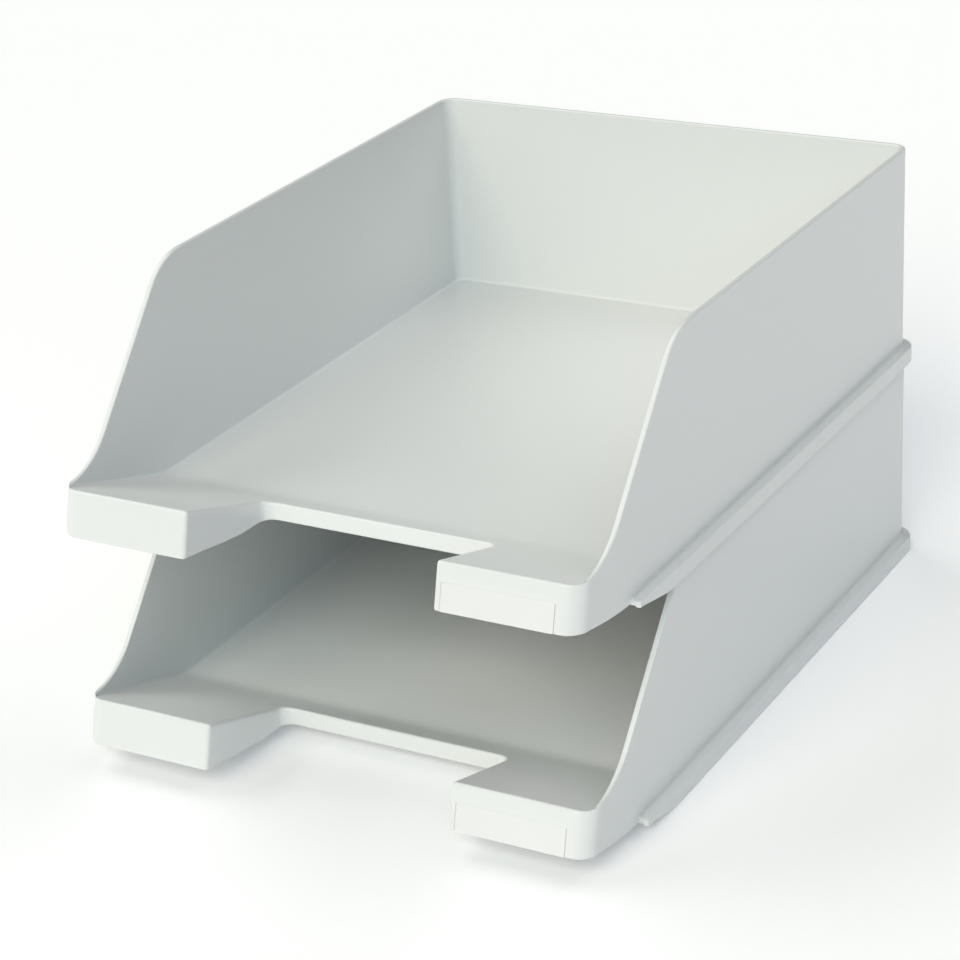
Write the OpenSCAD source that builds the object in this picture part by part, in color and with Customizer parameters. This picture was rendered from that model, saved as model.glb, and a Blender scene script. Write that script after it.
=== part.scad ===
// Two deep letter trays of one pattern, stacked, each with a label strip on its front.
// Origin: middle of the footprint at desk level. +Z up, the open front faces -Y.
// Lengths in millimetres, angles in degrees.

/* [Tray] */
// Overall width, measured across the stacking collar
tray_w = 255; // [210:1:330]
// Overall depth, from the foot of the front face to the back of the collar
tray_d = 347; // [290:1:440]
// Height of the rim above the foot of the collar
tray_h = 105.5; // [80:0.5:140]
// Thickness of the side walls, back wall and front face
wall_t = 2.4; // [1.6:0.1:3.2]
// Thickness of the floor and of the ramp that rises to the front edge
floor_t = 2.2; // [1.6:0.1:2.8]
// Level of the floor's upper side above the foot of the collar
floor_z = 9.4; // [8.6:0.1:14]
// Outer radius of the two upright corners at the back
back_r = 8; // [4:0.5:20]

/* [Stacking collar] */
// How far the collar stands out from the wall
collar_out = 3.9; // [3:0.1:6]
// Thickness of the collar's hanging skirt
collar_t = 2.1; // [1.4:0.1:2.4]
// Height of the collar
collar_h = 8; // [5:0.5:12]
// Thickness of the ledge that joins the collar to the wall
ledge_t = 2; // [1.4:0.1:3]
// Distance from the front edge to the front end of the collar
collar_start = 39; // [28:1:80]
// Length over which the skirt grows down to its full depth
collar_taper = 27; // [10:1:60]
// Depth of the skirt at its front end, below the ledge
collar_nose = 0.6; // [0.2:0.1:2]

/* [Front] */
// Height of the two front faces
face_h = 19.7; // [12:0.1:30]
// Level of the foot of the front faces above the foot of the collar
face_z = 11.6; // [9:0.1:20]
// How far the foot of a front face stands forward of its upper edge
face_lean = 5.4; // [0:0.1:8]
// Distance from the front edge back to the crease where the ramp meets the floor
ramp_len = 67.6; // [56:0.1:100]
// Width of each front block at its front edge, from the side to the notch
block_w = 64.6; // [63:0.2:76]
// Radius of the upright corners between the front faces and the sides
front_r = 9; // [3:0.5:10]

/* [Finger notch] */
// How much each side of the notch closes in towards its inner end
notch_taper = 2.5; // [0:0.1:6]
// Depth of the notch, from the front edge to the lip
notch_depth = 52.4; // [30:0.1:55]
// Radius of the notch's two inner corners
notch_r = 6; // [2:0.5:20]

/* [Swept front edge of the side walls] */
// Distance behind the front edge at which the slope would meet the level of the block's top
sweep_low = 19.7; // [10:0.1:40]
// Distance behind the front edge at which the slope would meet the rim
sweep_high = 85.2; // [60:0.1:140]
// Radius of the hollow curve at the foot of the slope
sweep_low_r = 38; // [10:1:40]
// Radius of the round curve at the head of the slope
sweep_high_r = 31; // [10:1:60]

/* [Label] */
// Width of the label strip
label_w = 50; // [20:0.5:51]
// Height of the label strip, measured on the leaning face
label_h = 12; // [6:0.5:18]
// Thickness of the label strip
label_t = 0.5; // [0.3:0.1:0.8]
// Depth of the pocket that the strip is pressed into
pocket_deep = 0.8; // [0.8:0.1:1.4]
// Gap between the strip and the end of its pocket
pocket_gap = 0.6; // [0:0.1:1.5]
// Distance from the notch's edge to the label's pocket
label_in = 2.8; // [1:0.1:5]

/* [Hidden] */

// One extra millimetre for cuts that run past a face
over = 1;
// Flat facets for each rounded corner, and for each long curve of the side wall
corner_steps = 8;
curve_steps = 12;

// Footprint of the walls
wall_x = tray_w / 2 - collar_out;
wall_back = tray_d / 2 - collar_out;
front_y = -tray_d / 2 + face_lean;
wall_foot = collar_h - ledge_t;

// Half widths of the finger notch, at the front edge and at its inner end
notch_half = wall_x - block_w;
notch_half_in = notch_half - notch_taper;

// Levels of the front, and the slopes of its face and ramp
face_top = face_z + face_h;
face_tilt = atan(face_lean / face_h);
ramp_tilt = atan((face_top - floor_z) / ramp_len);
ramp_drop = floor_t / cos(ramp_tilt);
foot_back = 34;
foot_front = 3;

// Slope of the swept edge, and how far each of its curves reaches along it
sweep_tilt = atan((tray_h - face_top) / (sweep_high - sweep_low));
low_reach = sweep_low_r * tan(sweep_tilt / 2);
high_reach = sweep_high_r * tan(sweep_tilt / 2);

// The upper tray's ledge rests on the lower tray's rim
stack_pitch = tray_h - wall_foot;

// Left end of the label's pocket, at the foot of the right-hand front face
label_x = notch_half + label_in;

// Points of an arc round [x, y]
function arc(x, y, r, from, to, steps) =
    [for (i = [0:steps]) let (a = from + (to - from) * i / steps) [x + r * cos(a), y + r * sin(a)]];

// Level of the ramp's upper side at a distance behind the front edge
function ramp_z(y) = face_top - y * tan(ramp_tilt);

// Outline in the side view is drawn as [distance behind the front edge, height]
module side_prism(width) {
    translate([-width / 2, front_y, 0])
        rotate([90, 0, 90]) linear_extrude(width) children();
}

// A prism that leans back with the front faces; its plan starts at the front edge
module leaning_prism() {
    translate([0, front_y, face_top]) rotate([-face_tilt, 0, 0])
        translate([0, 0, -tray_h]) linear_extrude(3 * tray_h) children();
}

// Plan of the walls' back part, each face moved in by inset
module back_plan(inset) {
    x = wall_x - inset;
    y = wall_back - inset;
    r = max(back_r - inset, 0.5);
    polygon(concat(
        [[-x, -tray_d], [x, -tray_d]],
        arc(x - r, y - r, r, 0, 90, corner_steps),
        arc(-x + r, y - r, r, 90, 180, corner_steps)));
}

// Plan of the walls' front part, measured from the front edge
module front_plan(inset) {
    x = wall_x - inset;
    r = max(front_r - inset, 0.5);
    polygon(concat(
        [[x, 2 * tray_d], [-x, 2 * tray_d]],
        arc(-x + r, inset + r, r, 180, 270, corner_steps),
        arc(x - r, inset + r, r, 270, 360, corner_steps)));
}

// Body that the walls wrap, with its rounded upright corners
module envelope(inset) {
    intersection() {
        translate([0, 0, -over]) linear_extrude(tray_h + 2 * over) back_plan(inset);
        leaning_prism() front_plan(inset);
    }
}

// Side view of the whole shell: raised front foot, swept edge, level rim
module shell_profile() {
    polygon(concat(
        [[-2 * face_lean - over, face_z], [foot_front, face_z], [foot_back, wall_foot]],
        [[tray_d, wall_foot], [tray_d, tray_h]],
        arc(sweep_high + high_reach, tray_h - sweep_high_r, sweep_high_r,
            90, 90 + sweep_tilt, curve_steps),
        arc(sweep_low - low_reach, face_top + sweep_low_r, sweep_low_r,
            270 + sweep_tilt, 270, curve_steps),
        [[-2 * face_lean - over, face_top]]));
}

// Side view of the paper space: above the ramp and the floor
module paper_profile() {
    polygon([
        [-tray_d, ramp_z(-tray_d)], [ramp_len, floor_z], [2 * tray_d, floor_z],
        [2 * tray_d, 2 * tray_h + tray_d], [-tray_d, 2 * tray_h + tray_d]]);
}

// Side view of the hollow underneath: below the ramp and the floor
module under_profile() {
    under_z = floor_z - floor_t;
    under_y = (face_top - ramp_drop - under_z) / tan(ramp_tilt);
    polygon([
        [-tray_d, ramp_z(-tray_d) - ramp_drop], [under_y, under_z], [2 * tray_d, under_z],
        [2 * tray_d, -over], [-tray_d, -over]]);
}

// Plan of the finger notch, grown all round by a margin; it gets narrower inwards
module notch_plan(margin) {
    r = notch_r + margin;
    flare = notch_taper / notch_depth;
    back = notch_depth + margin;
    half = notch_half_in + margin;
    out = tray_d / 4;
    translate([0, front_y]) polygon(concat(
        [[-half - flare * (back + out), -out], [half + flare * (back + out), -out]],
        [[half + flare * r, back - r]],
        arc(half - r, back - r, r, 0, 90, corner_steps),
        arc(-half + r, back - r, r, 90, 180, corner_steps),
        [[-half - flare * r, back - r]]));
}

module notch(margin) {
    translate([0, 0, -over]) linear_extrude(tray_h) notch_plan(margin);
}

// Plan of the collar's outer face, moved in by inset; ahead moves its front end forwards
module collar_plan(inset, ahead = 0) {
    x = tray_w / 2 - inset;
    y = tray_d / 2 - inset;
    r = max(back_r + collar_out - inset, 0.5);
    polygon(concat(
        [[-x, front_y + collar_start - ahead], [x, front_y + collar_start - ahead]],
        arc(x - r, y - r, r, 0, 90, corner_steps),
        arc(-x + r, y - r, r, 90, 180, corner_steps)));
}

// Side view of the collar: the skirt deepens behind its front end
module collar_profile() {
    polygon([
        [0, collar_h], [tray_d, collar_h], [tray_d, 0], [collar_start + collar_taper, 0],
        [collar_start, wall_foot - collar_nose], [0, wall_foot - collar_nose]]);
}

module collar() {
    intersection() {
        side_prism(tray_w + 2 * over) collar_profile();
        difference() {
            linear_extrude(collar_h) collar_plan(0);
            translate([0, 0, -over]) linear_extrude(wall_foot + over)
                collar_plan(collar_t, over);
            translate([0, 0, wall_foot - over / 2]) linear_extrude(collar_h)
                collar_plan(collar_out + wall_t / 2, over);
        }
    }
}

// A block that lies on the right-hand front face, from its foot up, sunk by deep
module on_face(x, w, h, deep, thick) {
    translate([0, front_y, face_top]) rotate([-face_tilt, 0, 0])
        translate([x, deep - thick, -face_h / cos(face_tilt)]) cube([w, thick, h]);
}

module label_pocket() {
    translate([0, 0, -over])
        on_face(label_x, label_w + pocket_gap, label_h + over, pocket_deep, 4 * pocket_deep);
}

module tray_shell() {
    difference() {
        intersection() {
            envelope(0);
            side_prism(tray_w) shell_profile();
        }
        // paper space between the walls
        intersection() {
            translate([0, 0, -over]) linear_extrude(2 * tray_h) back_plan(wall_t);
            side_prism(tray_w) paper_profile();
        }
        // hollow below the floor, ramp and front faces
        difference() {
            intersection() {
                envelope(wall_t);
                side_prism(tray_w) under_profile();
            }
            notch(wall_t);
        }
        notch(0);
        label_pocket();
    }
    collar();
}

module label_strip() {
    on_face(label_x, label_w, label_h, pocket_deep, label_t);
}

module lower_tray() {
    color([0.82, 0.84, 0.83]) tray_shell();
}

module upper_tray() {
    color([0.82, 0.84, 0.83]) translate([0, 0, stack_pitch]) tray_shell();
}

module lower_label() {
    color([0.95, 0.95, 0.96]) label_strip();
}

module upper_label() {
    color([0.95, 0.95, 0.96]) translate([0, 0, stack_pitch]) label_strip();
}

lower_tray();
upper_tray();
lower_label();
upper_label();
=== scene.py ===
import math

import bpy
import numpy as np
from mathutils import Matrix, Vector
from mathutils.geometry import delaunay_2d_cdt


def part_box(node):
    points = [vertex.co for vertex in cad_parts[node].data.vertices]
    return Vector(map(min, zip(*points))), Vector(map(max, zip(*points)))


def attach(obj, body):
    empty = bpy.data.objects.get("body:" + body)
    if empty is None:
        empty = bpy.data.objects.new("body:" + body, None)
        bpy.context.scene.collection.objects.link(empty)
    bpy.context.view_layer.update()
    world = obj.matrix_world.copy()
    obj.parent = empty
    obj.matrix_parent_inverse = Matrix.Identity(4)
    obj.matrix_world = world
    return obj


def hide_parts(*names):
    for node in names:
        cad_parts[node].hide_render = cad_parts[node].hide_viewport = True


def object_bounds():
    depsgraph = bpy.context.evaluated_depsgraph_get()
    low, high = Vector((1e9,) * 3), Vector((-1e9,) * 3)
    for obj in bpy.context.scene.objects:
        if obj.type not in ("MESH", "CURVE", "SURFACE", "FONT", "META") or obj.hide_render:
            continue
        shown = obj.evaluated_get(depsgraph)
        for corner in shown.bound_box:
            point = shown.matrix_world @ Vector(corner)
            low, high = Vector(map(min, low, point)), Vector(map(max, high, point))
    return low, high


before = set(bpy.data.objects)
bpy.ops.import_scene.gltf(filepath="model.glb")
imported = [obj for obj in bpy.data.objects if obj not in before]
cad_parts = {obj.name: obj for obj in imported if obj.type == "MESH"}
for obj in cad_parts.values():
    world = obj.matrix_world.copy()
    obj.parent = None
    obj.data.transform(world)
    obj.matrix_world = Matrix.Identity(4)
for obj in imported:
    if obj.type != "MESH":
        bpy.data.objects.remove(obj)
cad_box = [list(corner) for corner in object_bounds()]
lower_lo, lower_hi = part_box("lower_tray")
upper_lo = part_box("upper_tray")[0]


# ---- The tray moulding ------------------------------------------------------------------
# Each tray is one injection moulding in light grey polystyrene, 2.4 mm thick all over.
# One closed section runs round its whole edge: up the inside of the wall, over the rim,
# down the outside and back under the floor. Floor and underside close it.

stack_pitch = upper_lo.z - lower_lo.z
tray_high = lower_hi.z - lower_lo.z
collar_out = 0.0039
wall_x = lower_hi.x - collar_out
wall_back = lower_hi.y - collar_out
wall_thick = 0.0024
face_lean = 0.0054
front_edge = lower_lo.y + face_lean
face_foot = 0.0116
face_top = 0.0313
collar_high = 0.008
ledge_foot = 0.006
floor_level = 0.0094
floor_thick = 0.0022
ramp_long = 0.0676
crease_soft = 0.0014
block_wide = 0.0646
notch_deep = 0.0524
notch_taper = 0.0025

side_radius = 0.009
back_radius = 0.008
mouth_radius = 0.0016
notch_radius = 0.006
thin_radius = 0.0003
inner_corner = 0.0022
side_taper = 0.0005
taper_start, taper_long = 0.036, 0.027
lean_start, lean_fade = 0.012, 0.030
foot_rise_start, foot_rise_long = -0.002, 0.042
z_clear = 0.00002

rim_round = 0.0008
front_round = 0.0015
foot_round = 0.0008
foot_inner_round = 0.0005
floor_fillet = 0.0014
under_fillet = 0.0010
flat_margin = 0.0030
draft_out = 0.0004
draft_total = 0.0008

label_in = 0.0028
label_wide = 0.050
label_tall = 0.012
label_thick = 0.0005
pocket_deep = 0.0008
pocket_gap = 0.0006
pocket_edge = 0.00005

ramp_slope = (face_top - floor_level) / ramp_long
face_high = face_top - face_foot
lean_angle = math.atan2(face_lean, face_high)
notch_half = wall_x - block_wide
label_left = notch_half + label_in


def smooth_step(x):
    """Rises from 0 to 1 as x goes from 0 to 1, level at both ends: 3x squared less 2x cubed."""
    x = np.clip(x, 0, 1)
    return x * x * (3 - 2 * x)


def floor_height(back):
    """Level of the paper's surface at a distance behind the front edge: a straight ramp down
    to the flat floor, the two blended by half of a + sqrt(a squared + softness squared)."""
    rise = (ramp_long - back) * ramp_slope
    return floor_level + (rise + np.sqrt(rise * rise + crease_soft ** 2)) / 2


def underside(back):
    """Level of the floor's underside: the floor's thickness lower, measured square to it."""
    rise = (ramp_long - back) * ramp_slope
    slope = ramp_slope * (1 + rise / np.sqrt(rise * rise + crease_soft ** 2)) / 2
    return floor_height(back) - floor_thick * np.sqrt(1 + slope * slope)


def sweep_height(back):
    """Level of a side wall's edge at a distance behind the front edge: level with the block,
    a hollow circular arc, a straight slope, a round circular arc, and the level rim."""
    low_meet, high_meet, low_r, high_r = 0.0197, 0.0852, 0.038, 0.031
    slope = (tray_high - face_top) / (high_meet - low_meet)
    half_turn = math.tan(math.atan(slope) / 2)
    low_reach, high_reach = low_r * half_turn, high_r * half_turn
    cos_slope = 1 / math.hypot(1, slope)
    a = back - (low_meet - low_reach)
    b = (high_meet + high_reach) - back
    hollow = face_top + low_r - np.sqrt(np.maximum(low_r ** 2 - a * a, 0))
    crown = tray_high - high_r + np.sqrt(np.maximum(high_r ** 2 - b * b, 0))
    straight = face_top + (back - low_meet) * slope
    return np.select(
        [a <= 0, back < low_meet + low_reach * cos_slope,
         back < high_meet - high_reach * cos_slope, b > 0],
        [face_top, hollow, straight, crown], tray_high)


def foot_height(back):
    """Level of the lower edge: high under the front faces, easing down to the ledge's foot."""
    share = smooth_step((back - foot_rise_start) / foot_rise_long)
    return face_foot + (ledge_foot + z_clear - face_foot) * share


# The plan's corners, anticlockwise from the front right; the notch's inner two are hollow.
notch_in = notch_half - notch_taper
plan_corners = np.array([
    (wall_x, front_edge), (wall_x, wall_back), (-wall_x, wall_back), (-wall_x, front_edge),
    (-notch_half, front_edge), (-notch_in, front_edge + notch_deep),
    (notch_in, front_edge + notch_deep), (notch_half, front_edge)])
plan_radii = np.array([side_radius, back_radius, back_radius, side_radius,
                       mouth_radius, notch_radius, notch_radius, mouth_radius])

# Stations along each straight side: closer where the edge curves. On the two long sides they
# are distances behind the front edge, elsewhere shares of the side's length.
collar_start = 0.039
collar_taper = 0.027
side_back = np.concatenate([
    np.arange(0.0096, 0.0385, 0.0012), [collar_start], np.arange(0.0405, 0.104, 0.0018),
    [0.110, 0.125, 0.160, 0.210, 0.260, 0.300, 0.320]])
mouth_turn = math.atan2(notch_deep, notch_taper)
face_start = notch_half + mouth_radius * math.tan(mouth_turn / 2)
face_long = wall_x - side_radius - face_start
pocket_ends = np.array([label_left, label_left + label_wide + pocket_gap]) - face_start
pocket_share = np.array([
    pocket_ends[0] - pocket_edge, pocket_ends[0] + pocket_edge,
    pocket_ends[1] - pocket_edge, pocket_ends[1] + pocket_edge]) / face_long
face_share = np.sort(np.concatenate([pocket_share, [0.02, 0.25, 0.5, 0.75, 0.985]]))
even_share = np.array([0.01, 0.25, 0.5, 0.75, 0.99])
shares = [side_back, even_share, side_back[::-1], even_share,
          even_share, even_share, even_share, face_share]
corner_steps = 10


def plan_loop(inset, above=False, normals=False):
    """The tray's closed outline seen from above, moved inwards by inset. Each side shifts along
    its own normal and meets its neighbours again, and each corner is a circular arc whose
    radius shrinks by the inset where it bulges and grows by it where it is hollow. Above the
    ramp the inside of a front corner is nearly square, so there the side wall thins out into
    the front edge. With normals, gives the inward direction at each station instead."""
    along = np.roll(plan_corners, -1, 0) - plan_corners
    along /= np.linalg.norm(along, axis=1)[:, None]
    inward = np.stack([-along[:, 1], along[:, 0]], 1)
    before = np.roll(inward, 1, 0)
    turn = np.sign(before[:, 0] * inward[:, 1] - before[:, 1] * inward[:, 0])
    meet = (before + inward) / (1 + np.sum(before * inward, 1))[:, None]
    radius = plan_radii - turn * inset
    if above:
        radius[[0, 3]] = inner_corner + wall_thick - inset
    radius = np.maximum(radius, thin_radius)
    centre = plan_corners + meet * (inset + turn * radius)[:, None]
    angle = np.arccos(np.clip(np.sum(before * inward, 1), -1, 1))
    across = np.stack([-before[:, 1], before[:, 0]], 1) * turn[:, None]
    sweep = angle[:, None] * np.linspace(0, 1, corner_steps + 1)[None]
    facing = (before[:, None] * np.cos(sweep)[..., None]
              + across[:, None] * np.sin(sweep)[..., None])
    arcs = centre[:, None] - (turn * radius)[:, None, None] * facing
    parts = []
    for i, share in enumerate(shares):
        start, end = arcs[i, -1], arcs[(i + 1) % len(shares), 0]
        if i in (0, 2):
            share = (front_edge + share - start[1]) / (end[1] - start[1])
        side = start + (end - start) * share[:, None]
        parts += [facing[i], inward[i] + 0 * side] if normals else [arcs[i], side]
    return np.concatenate(parts)


def front_share():
    """1 at stations on the front and in the notch, 0 along the sides and back, and a smooth
    change round the middle of the two front corners."""
    down = smooth_step((0.8 - np.linspace(0, 1, corner_steps + 1)) / 0.6)
    level = [1 - 0 * s for s in shares]
    corner = [down, 0 * down, 0 * down, down[::-1]] + [0 * down + 1] * 4
    for side in range(3):
        level[side] = 0 * shares[side]
    return np.concatenate([part for pair in zip(corner, level) for part in pair])


def pocket_share_of(loop):
    """1 at stations between the two ends of the label's pocket on the right-hand face."""
    x, y = loop.T
    ends = label_left, label_left + label_wide + pocket_gap
    return ((x > ends[0]) & (x < ends[1]) & (y < front_edge + 0.0001)).astype(float)


def section_rows():
    """Rows of the section from the floor's margin over the rim and round to the underside, each
    as a place for every station. Round edges are quarter circles, whose radii shrink with the
    wall where it thins out at the front corners."""
    outer, inward = plan_loop(0), plan_loop(0, normals=True)
    inner, under = plan_loop(wall_thick, above=True), plan_loop(wall_thick)
    w = front_share()
    pocket = pocket_share_of(outer)
    thin = np.minimum(np.sum((inner - outer) * inward, 1) / wall_thick, 1)
    edge_round = (rim_round + (front_round - rim_round) * w) * thin
    foot = foot_height(outer[:, 1] - front_edge)
    rows = []

    def add(plan, height, sheared, pushed=0.0):
        """Puts one row in place: wall draft by height, and the lean of the front faces."""
        back = plan[:, 1] - front_edge
        draft = (draft_total * (tray_high - height) / tray_high - draft_out) * (1 - w)
        point = plan + inward * (draft + pocket * pushed)[:, None]
        edge_level = face_top * (1 - w) + floor_height(back) * w
        drop = np.clip((edge_level - height) / face_high, 0, 1.2)
        fade = 1 - smooth_step((back - lean_start) / lean_fade)
        shift = face_lean * drop * fade * sheared
        rows.append(np.column_stack([point[:, 0], point[:, 1] - shift, height]))

    def moved(plan, inset):
        """Plan moved inwards along each station's own normal."""
        return plan + inward * (inset * np.ones_like(w))[:, None]

    def tapered(inset):
        """Outer plan moved inwards, and drawn in a little more towards the front corners."""
        back = outer[:, 1] - front_edge
        share = smooth_step((taper_start - back) / taper_long) * thin * (1 - w)
        return moved(outer, inset + side_taper * share)

    def top_of(plan):
        """Level of the upper edge: the sweep on the sides, the ramp's own level in front."""
        back = plan[:, 1] - front_edge
        return sweep_height(back) * (1 - w) + floor_height(back) * w

    # floor margin and the fillet up into the wall
    for reach in (floor_fillet + flat_margin, floor_fillet):
        plan = plan_loop(wall_thick + reach, above=True)
        add(plan, floor_height(plan[:, 1] - front_edge), 0)
    for angle in np.radians([20, 40, 60, 75, 90]):
        reach = floor_fillet * (1 - math.sin(angle))
        plan = plan_loop(wall_thick + reach, above=True)
        level = floor_height(plan[:, 1] - front_edge)
        room = np.maximum(top_of(plan) - rim_round - level, 0)
        tall = np.minimum(floor_fillet, room * 0.6) * (1 - w)
        add(plan, level + tall * (1 - math.cos(angle)), 0)

    # inner wall and rim; in front, where there is no wall, the ramp runs on to the edge
    for angle, share in zip(np.radians([0, 30, 60, 90]), (0.1, 0.35, 0.6, 0.85)):
        rim_inset = rim_round * (1 - math.cos(angle)) * thin
        ramp_inset = (wall_thick - front_round) * share * thin
        plan = moved(inner, -rim_inset * (1 - w) - ramp_inset * w)
        add(plan, top_of(plan) - rim_round * thin * (1 - math.sin(angle)) * (1 - w), 0)

    # round outer edge
    for angle in np.radians([90, 72, 54, 36, 18, 0]):
        plan = tapered(edge_round * (1 - math.cos(angle)))
        add(plan, top_of(plan) - edge_round * (1 - math.sin(angle)), 1)

    # outer face, with the label's pocket in its lower part on the right
    face_low, face_high_end = foot + foot_round, top_of(tapered(0)) - edge_round
    pocket_level = label_tall * math.cos(lean_angle)
    pocket_at = (pocket_level - foot_round) / (face_high - foot_round - front_round)
    edge_at = pocket_edge / face_high
    for share in (0.93, 0.78, pocket_at + edge_at, pocket_at - edge_at, 0.3, 0.03, 0):
        pushed = pocket_deep if share < pocket_at else 0.0
        add(tapered(0), face_low + (face_high_end - face_low) * share, 1, pushed)

    # foot, and the inside up to the underside of floor and ramp
    for angle in np.radians([30, 60, 90]):
        inset = foot_round * (1 - math.cos(angle))
        add(tapered(inset), foot + foot_round * (1 - math.sin(angle)), 1,
            max(pocket_deep - inset, 0))
    for angle in np.radians([90, 45, 0]):
        plan = moved(under, -foot_inner_round * (1 - math.cos(angle)))
        add(plan, foot + foot_inner_round * (1 - math.sin(angle)), 1)
    for angle in np.radians([0, 30, 60, 90]):
        plan = plan_loop(wall_thick + under_fillet * (1 - math.cos(angle)))
        level = underside(plan[:, 1] - front_edge)
        room = np.maximum(level - foot - foot_inner_round, 0)
        tall = np.minimum(under_fillet, room * 0.6)
        add(plan, level - tall * (1 - math.sin(angle)), 1)
    plan = plan_loop(wall_thick + under_fillet + flat_margin)
    add(plan, underside(plan[:, 1] - front_edge), 0)
    return np.array(rows)


cross_reach = 0.113
cross_back = np.array([-0.006, -0.004, -0.002, 0, 0.002, 0.004, 0.007, 0.012])


def loop_faces(first, second):
    """Four-sided faces between two closed rows of vertex numbers, facing out of the section."""
    return np.stack([first, second, np.roll(second, -1), np.roll(first, -1)], 1)


def filled_plane(loop, start, height_of, upwards):
    """Closes a row with a surface whose height depends only on the distance behind the front
    edge. Cross lines near the crease are added to the plan before it is cut into triangles."""
    n = len(loop)
    lines = []
    across = np.linspace(-cross_reach, cross_reach, 15)
    for back in ramp_long + cross_back:
        lines.append(np.column_stack([across, np.full(len(across), front_edge + back)]))
    extra = np.concatenate(lines)
    rim = np.arange(n)
    edges = np.stack([rim, np.roll(rim, -1)], 1)
    rows = n + np.arange(len(extra)).reshape(len(lines), -1)
    cross = np.stack([rows[:, :-1].ravel(), rows[:, 1:].ravel()], 1)
    plan = np.concatenate([loop[:, :2], extra])
    cut = delaunay_2d_cdt(
        [Vector(p) for p in plan.tolist()], np.concatenate([edges, cross]).tolist(),
        [list(range(n))], 1, 1e-7)
    points = np.array([tuple(p) for p in cut[0]])
    faces = np.array([f for f in cut[2]])
    source = np.array([origin[0] if origin else -1 for origin in cut[3]])
    fresh = ~((source >= 0) & (source < n))
    number = np.where(fresh, 0, start + source)
    number[fresh] = -1 - np.arange(fresh.sum())
    height = height_of(points[fresh, 1] - front_edge)
    new = np.column_stack([points[fresh], height])
    a, b, c = (points[faces[:, k]] for k in range(3))
    area = (b[:, 0] - a[:, 0]) * (c[:, 1] - a[:, 1]) - (b[:, 1] - a[:, 1]) * (c[:, 0] - a[:, 0])
    faces = np.where(((area > 0) == upwards)[:, None], faces, faces[:, ::-1])
    return new, number[faces]


def tray_body():
    """The moulding without its collar: the section's rows joined round the loop, and the floor
    and underside filled."""
    rows = section_rows()
    count, n = rows.shape[:2]
    number = np.arange(count * n).reshape(count, n)
    faces = [loop_faces(number[k], number[k + 1]) for k in range(count - 1)]
    points = [rows.reshape(-1, 3)]
    total = count * n
    for row, upwards, height_of in ((0, True, floor_height), (count - 1, False, underside)):
        new, triangles = filled_plane(rows[row], number[row, 0], height_of, upwards)
        triangles = np.where(triangles < 0, total - 1 - triangles, triangles)
        faces.append(triangles)
        points.append(new)
        total += len(new)
    return np.concatenate(points), faces


# ---- The stacking collar ----------------------------------------------------------------
# The collar is moulded on: a narrow ledge round both sides and the back, with a skirt that
# hangs from its outer edge over the rim of the tray below.

skirt_thick = 0.0021
cove = 0.0011
cove_sunk = 0.00025
nose_soft = 0.09
ledge_round = 0.0006
skirt_foot_round = 0.0007
nose_deep = 0.0006


def collar_section(foot):
    """Closed outline of the collar as (distance out from the wall's plan line, height): ledge,
    cove against the wall, round outer edge and a skirt that reaches down to foot."""
    out = collar_out
    inside = out - skirt_thick

    def quarter(x, y, r, start, steps=4):
        a = np.radians(np.linspace(start, start - 90, steps + 1))
        return np.column_stack([x + r * np.cos(a), y + r * np.sin(a)])

    root = np.array([(-0.0014, ledge_foot), (-0.0014, 0.0070), (-0.0010, collar_high + cove)])
    hollow = np.radians(np.linspace(180, 270, 5))
    fillet = np.column_stack([
        cove * (1 + np.cos(hollow)), collar_high + cove * (1 + np.sin(hollow))])
    fillet[:, 0] -= cove_sunk
    skirt = min(skirt_foot_round, (ledge_foot - foot) * 0.45)
    return np.concatenate([
        root, fillet,
        quarter(out - ledge_round, collar_high - ledge_round, ledge_round, 90),
        quarter(out - skirt, foot + skirt, skirt, 0),
        quarter(inside + skirt * 0.5, foot + skirt * 0.5, skirt * 0.5, 270),
        [(inside, ledge_foot - 0.0002), (inside - 0.0002, ledge_foot)]])


def tray_collar():
    """The collar's outline carried along the sides and back, and closed flat at its two ends.
    The skirt's foot rises towards each front end in a straight line with a soft start."""
    outer, outward = plan_loop(0), -plan_loop(0, normals=True)
    back = outer[:, 1] - front_edge
    first = np.flatnonzero(np.isclose(back, collar_start))
    stations = np.arange(first.min(), first.max() + 1)
    behind = (collar_start + collar_taper - back[stations]) / collar_taper
    lift = (behind + np.sqrt(behind * behind + nose_soft * nose_soft)) / 2
    foot = (ledge_foot - nose_deep) * np.clip(lift - nose_soft * 0.05, 0, 1)
    foot[back[stations] > collar_start + collar_taper + 0.02] = 0
    sections = np.array([collar_section(f) for f in foot])
    place = outer[stations, None] + outward[stations, None] * sections[..., :1]
    points = np.concatenate([place, sections[..., 1:]], 2)
    many, around = points.shape[:2]
    number = np.arange(many * around).reshape(many, around)
    ahead = np.roll(number, -1, 1)
    sides = np.stack([number[:-1], ahead[:-1], ahead[1:], number[1:]], 2).reshape(-1, 4)
    return points.reshape(-1, 3), sides, number[0][::-1], number[-1]


def tray_mesh(name, lift):
    """One closed shell for the moulding and one for the collar rooted in it, in one mesh."""
    body, body_faces = tray_body()
    collar, sides, start_cap, end_cap = tray_collar()
    first = len(body)
    faces = [f for group in body_faces for f in group.tolist()]
    faces += (sides + first).tolist() + [(start_cap + first).tolist(), (end_cap + first).tolist()]
    points = np.concatenate([body, collar]) + (0, 0, lift)
    mesh = bpy.data.meshes.new(name)
    mesh.from_pydata(points.tolist(), [], faces)
    mesh.validate()
    return mesh


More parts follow.
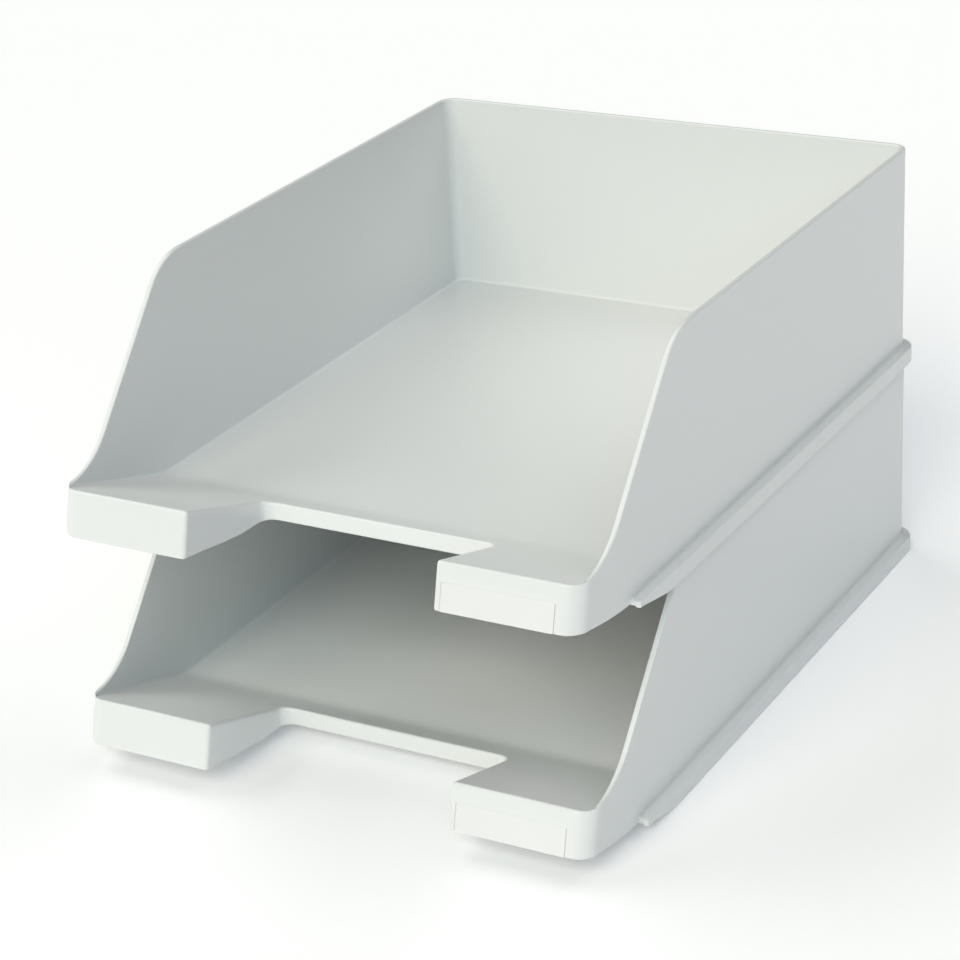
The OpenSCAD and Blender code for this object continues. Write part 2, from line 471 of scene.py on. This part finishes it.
class Sock:
    """A shader socket that arithmetic can be written with; each operation adds a Math node."""

    def __init__(self, tree, socket):
        self.tree, self.socket = tree, socket

    def math(self, operation, other, flipped=False):
        node = self.tree.nodes.new("ShaderNodeMath")
        node.operation = operation
        values = (other, self) if flipped else (self, other)
        for entry, value in zip(node.inputs, values):
            if isinstance(value, Sock):
                self.tree.links.new(value.socket, entry)
            else:
                entry.default_value = value
        return Sock(self.tree, node.outputs[0])

    def __add__(self, other):
        return self.math("ADD", other)

    def __sub__(self, other):
        return self.math("SUBTRACT", other)

    def __rsub__(self, other):
        return self.math("SUBTRACT", other, True)

    def __mul__(self, other):
        return self.math("MULTIPLY", other)

    __radd__, __rmul__ = __add__, __mul__


class Finish:
    """A material under construction: its Principled shader and one method for any other node."""

    def __init__(self, name, **constants):
        self.material = bpy.data.materials.new(name)
        self.material.use_nodes = True
        self.tree = self.material.node_tree
        self.shader = self.tree.nodes["Principled BSDF"]
        for entry, value in constants.items():
            self.shader.inputs[entry.replace("_", " ")].default_value = value

    def node(self, kind, settings=None, out=0, **values):
        node = self.tree.nodes.new("ShaderNode" + kind)
        for key, value in (settings or {}).items():
            setattr(node, key, value)
        for key, value in values.items():
            numbered = key[0] == "i" and key[1:].isdigit()
            entry = node.inputs[int(key[1:]) if numbered else key]
            if isinstance(value, Sock):
                self.tree.links.new(value.socket, entry)
            else:
                entry.default_value = value
        return Sock(self.tree, node.outputs[out])

    def feed(self, entry, value):
        self.tree.links.new(value.socket, self.shader.inputs[entry])


def tray_plastic():
    """Light grey polystyrene from a finely etched mould: a silky gloss that varies a little, a
    very shallow hair-fine grain, and a grey that drifts by a shade from place to place."""
    finish = Finish("tray_plastic", IOR=1.55, Coat_Weight=0.0)
    place = finish.node("TexCoord", out=3)
    cloud = finish.node("TexNoise", Vector=place, Scale=9.0, Detail=2.0, Roughness=0.5)
    mottle = finish.node("TexNoise", Vector=place, Scale=260.0, Detail=3.0, Roughness=0.6)
    grain = finish.node("TexNoise", Vector=place, Scale=2600.0, Detail=2.0, Roughness=0.6)
    shade = (cloud - 0.5) * 0.5 + (mottle - 0.5) * 0.04 + 0.5
    colour = finish.node("Mix", {"data_type": "RGBA"}, out=2, Factor=shade,
                         i6=(0.715, 0.732, 0.720, 1), i7=(0.745, 0.762, 0.750, 1))
    finish.feed("Base Color", colour)
    finish.feed("Roughness", 0.30 + (cloud - 0.5) * 0.08 + (mottle - 0.5) * 0.01)
    height = grain * 0.30 + mottle * 0.03
    finish.feed("Normal", finish.node("Bump", Strength=0.008, Distance=0.0004, Height=height))
    return finish.material


plastic = tray_plastic()
for body, lift in (("lower", 0.0), ("upper", stack_pitch)):
    shell = bpy.data.objects.new(body + "_tray_shell", tray_mesh(body + "_tray_shell", lift))
    bpy.context.scene.collection.objects.link(shell)
    shell.data.shade_smooth()
    shell.data.materials.append(plastic)
    weighted = shell.modifiers.new("even_flats", "WEIGHTED_NORMAL")
    weighted.weight = 80
    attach(shell, body)
    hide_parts(body + "_tray")


# ---- The label strips -------------------------------------------------------------------
# Each tray has one strip of smooth white film, half a millimetre thick, pressed into the
# pocket at the foot of its right-hand front face. It is bare.

strip_round = 0.00012
corner_round = 0.0004


def strip_points(lift):
    """A thin plate with softened edges: a rounded rectangle drawn at five depths, a little
    smaller at the front, then tipped back with the face and set down in its pocket."""
    turn = np.radians(np.arange(0, 360, 15))
    quadrant = np.stack([np.cos(turn), np.sin(turn)], 1)
    half = np.array([label_wide, label_tall]) / 2 - corner_round
    ring = np.sign(np.round(quadrant, 6) + 1e-9) * half + quadrant * corner_round
    depth = np.array([0, 0, 0.3 * strip_round, strip_round, label_thick])
    shrink = np.array([5, 1, 0.3, 0, 0]) * strip_round
    x = ring[None, :, 0] - np.sign(ring[None, :, 0]) * shrink[:, None]
    z = ring[None, :, 1] - np.sign(ring[None, :, 1]) * shrink[:, None]
    x = label_left + label_wide / 2 + x
    up = label_tall / 2 + z - face_high / math.cos(lean_angle)
    into = (pocket_deep - label_thick + depth)[:, None] + 0 * x
    y = front_edge + into * math.cos(lean_angle) + up * math.sin(lean_angle)
    height = face_top - into * math.sin(lean_angle) + up * math.cos(lean_angle) + lift
    return np.stack([x, y, height], 2)


def label_film():
    """White film with a faint tooth and a soft sheen."""
    finish = Finish("label_film", IOR=1.47)
    place = finish.node("TexCoord", out=3)
    tooth = finish.node("TexNoise", Vector=place, Scale=1400.0, Detail=3.0, Roughness=0.7)
    cloud = finish.node("TexNoise", Vector=place, Scale=60.0, Detail=2.0, Roughness=0.5)
    colour = finish.node("Mix", {"data_type": "RGBA"}, out=2, Factor=cloud,
                         i6=(0.735, 0.735, 0.735, 1), i7=(0.760, 0.760, 0.760, 1))
    finish.feed("Base Color", colour)
    finish.feed("Roughness", 0.42 + (tooth - 0.5) * 0.12)
    finish.feed("Normal", finish.node("Bump", Strength=0.08, Distance=0.0001, Height=tooth))
    return finish.material


film = label_film()
for body, lift in (("lower", 0.0), ("upper", stack_pitch)):
    rings = strip_points(lift)
    deep, around = rings.shape[:2]
    number = np.arange(deep * around).reshape(deep, around)
    walls = np.concatenate([loop_faces(number[k], number[k + 1]) for k in range(deep - 1)])
    mesh = bpy.data.meshes.new(body + "_label_strip")
    mesh.from_pydata(rings.reshape(-1, 3).tolist(), [],
                     walls.tolist() + [number[0].tolist(), number[-1][::-1].tolist()])
    strip = bpy.data.objects.new(body + "_label_strip", mesh)
    bpy.context.scene.collection.objects.link(strip)
    mesh.shade_smooth()
    mesh.materials.append(film)
    weighted = strip.modifiers.new("even_flats", "WEIGHTED_NORMAL")
    weighted.weight = 80
    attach(strip, body)
    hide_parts(body + "_label")


# ---- Floor, light and camera ------------------------------------------------------------
# A wide pale floor that glows a little, under soft studio light from six sides: strongest in
# front and on the left, with one behind on the right that picks out the edges.

floor_mesh = bpy.data.meshes.new("studio_floor")
reach, floor_gap = 12.0, 0.0002
floor_mesh.from_pydata(
    [(-reach, -reach, 0), (reach, -reach, 0), (reach, reach, 0), (-reach, reach, 0)],
    [], [(0, 1, 2, 3)])
studio_floor = bpy.data.objects.new("studio_floor", floor_mesh)
studio_floor.location.z = cad_box[0][2] - floor_gap
bpy.context.scene.collection.objects.link(studio_floor)
pale = Finish("studio_pale", Roughness=0.9, IOR=1.2)
pale.shader.inputs["Base Color"].default_value = (0.93, 0.93, 0.93, 1)
pale.shader.inputs["Emission Color"].default_value = (0.95, 0.97, 1, 1)
pale.shader.inputs["Emission Strength"].default_value = 0.14
floor_mesh.materials.append(pale.material)

world = bpy.data.worlds.new("studio")
bpy.context.scene.world = world
world.use_nodes = True
world.node_tree.nodes["Background"].inputs["Color"].default_value = (1, 1, 1, 1)
world.node_tree.nodes["Background"].inputs["Strength"].default_value = 0.02


def soft_light(name, azimuth, elevation, red, green, blue):
    """A distant soft light seen 40 degrees wide. Azimuth 0 is in front, 90 on the right; a matt
    white card square to it would reach the three given levels."""
    a, e = math.radians(azimuth), math.radians(elevation)
    strongest = max(red, green, blue)
    data = bpy.data.lights.new(name, "SUN")
    data.angle = math.radians(40)
    data.energy = math.pi * strongest
    data.color = (red / strongest, green / strongest, blue / strongest)
    lamp = bpy.data.objects.new(name, data)
    away = Vector((math.sin(a) * math.cos(e), -math.cos(a) * math.cos(e), math.sin(e)))
    lamp.rotation_euler = away.to_track_quat("Z", "Y").to_euler()
    bpy.context.scene.collection.objects.link(lamp)


soft_light("front_light", 0, 35, 0.57, 0.52, 0.435)
soft_light("front_right_light", 30, 32, 0.15, 0.22, 0.265)
soft_light("left_light", -100, 50, 0.28, 0.28, 0.275)
soft_light("front_left_light", -60, 30, 0.15, 0.165, 0.165)
soft_light("back_right_light", 150, 55, 0.165, 0.175, 0.165)
soft_light("right_light", 100, 50, 0.09, 0.075, 0.09)

azimuth, elevation, roll = math.radians(30.43), math.radians(23.95), math.radians(-3.47)
forward = Vector((-math.sin(azimuth) * math.cos(elevation), math.cos(azimuth) * math.cos(elevation),
                  -math.sin(elevation)))
level = forward.cross(Vector((0, 0, 1))).normalized()
above = level.cross(forward)
right = level * math.cos(roll) + above * math.sin(roll)
up = above * math.cos(roll) - level * math.sin(roll)
camera_data = bpy.data.cameras.new("camera")
camera_data.sensor_width = 36
camera_data.lens = 105.56
camera = bpy.data.objects.new("camera", camera_data)
turned = Matrix((right, up, -forward)).transposed().to_4x4()
camera.matrix_world = Matrix.Translation((0.5766, -1.0120, 0.6032)) @ turned
bpy.context.scene.collection.objects.link(camera)
bpy.context.scene.camera = camera
bpy.context.scene.view_settings.view_transform = "Standard"
